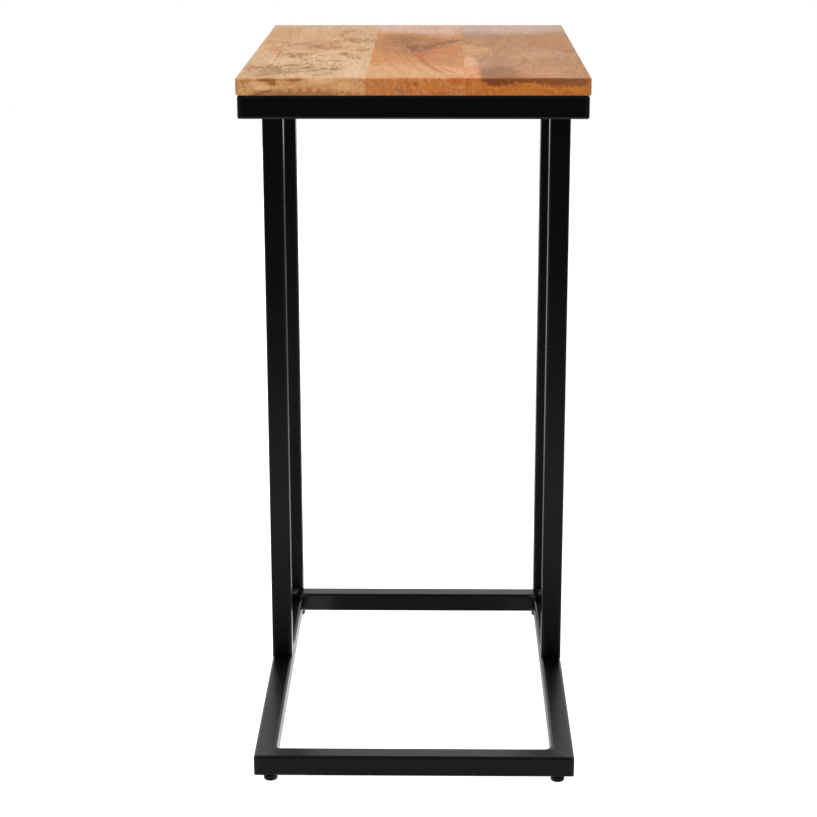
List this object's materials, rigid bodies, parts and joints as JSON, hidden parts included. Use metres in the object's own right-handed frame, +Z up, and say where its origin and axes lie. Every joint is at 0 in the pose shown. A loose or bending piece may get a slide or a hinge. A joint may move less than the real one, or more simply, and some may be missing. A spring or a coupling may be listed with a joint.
{
  "type": "c shaped side table",
  "caption": "C shaped side table: glued-board wooden top on a mitred square-tube steel frame, held by posts on the rear half of an open base frame with levelling glides.",
  "frame": {"origin": "on the floor, under the middle of the wooden top, with the glides screwed in", "axes": "+Z up, -Y towards the open front of the C, +X to the right seen from the open front"},
  "size_m": [0.3, 0.45, 0.655],
  "materials": {
    "pale_board": "pale spalted mango wood, matt lacquer",
    "amber_board": "orange-brown mango wood, matt lacquer",
    "brown_board": "pinkish-brown mango wood, matt lacquer",
    "black_frame": "black powder coat, satin",
    "black_screw": "black oxide steel",
    "zinc_steel": "bright zinc plate",
    "glide_plastic": "black moulded nylon"
  },
  "bodies": {
    "frame": {"top_board_left": "pale_board", "top_board_middle": "amber_board", "top_board_right": "brown_board", "top_front_bar": "black_frame", "top_back_bar": "black_frame", "top_left_rail": "black_frame", "top_right_rail": "black_frame", "top_corner_welds": "black_frame", "base_front_bar": "black_frame", "base_back_bar": "black_frame", "base_left_rail": "black_frame", "base_right_rail": "black_frame", "base_corner_welds": "black_frame", "post_front_left": "black_frame", "post_front_right": "black_frame", "post_back_left": "black_frame", "post_back_right": "black_frame", "foot_plate_front_left": "black_frame", "foot_plate_front_right": "black_frame", "foot_plate_back_left": "black_frame", "foot_plate_back_right": "black_frame", "head_plate_front_left": "black_frame", "head_plate_front_right": "black_frame", "head_plate_back_left": "black_frame", "head_plate_back_right": "black_frame", "foot_plate_beads": "black_frame", "head_plate_beads": "black_frame", "base_bolts": "black_screw", "top_bolts": "black_screw", "base_rail_nuts": "zinc_steel", "top_rail_nuts": "zinc_steel", "glide_nuts": "zinc_steel", "wood_screws": "zinc_steel"},
    "glide_front_left": {"glide_pad_front_left": "glide_plastic", "glide_stud_front_left": "zinc_steel"},
    "glide_front_right": {"glide_pad_front_right": "glide_plastic", "glide_stud_front_right": "zinc_steel"},
    "glide_back_left": {"glide_pad_back_left": "glide_plastic", "glide_stud_back_left": "zinc_steel"},
    "glide_back_right": {"glide_pad_back_right": "glide_plastic", "glide_stud_back_right": "zinc_steel"}
  },
  "joints": [
    {"name": "glide_front_left_screw", "type": "slide", "parent": "frame", "child": "glide_front_left", "axis": [0, 0, -1], "range_m": [0, 0.006]},
    {"name": "glide_front_right_screw", "type": "slide", "parent": "frame", "child": "glide_front_right", "axis": [0, 0, -1], "range_m": [0, 0.006]},
    {"name": "glide_back_left_screw", "type": "slide", "parent": "frame", "child": "glide_back_left", "axis": [0, 0, -1], "range_m": [0, 0.006]},
    {"name": "glide_back_right_screw", "type": "slide", "parent": "frame", "child": "glide_back_right", "axis": [0, 0, -1], "range_m": [0, 0.006]}
  ]
}
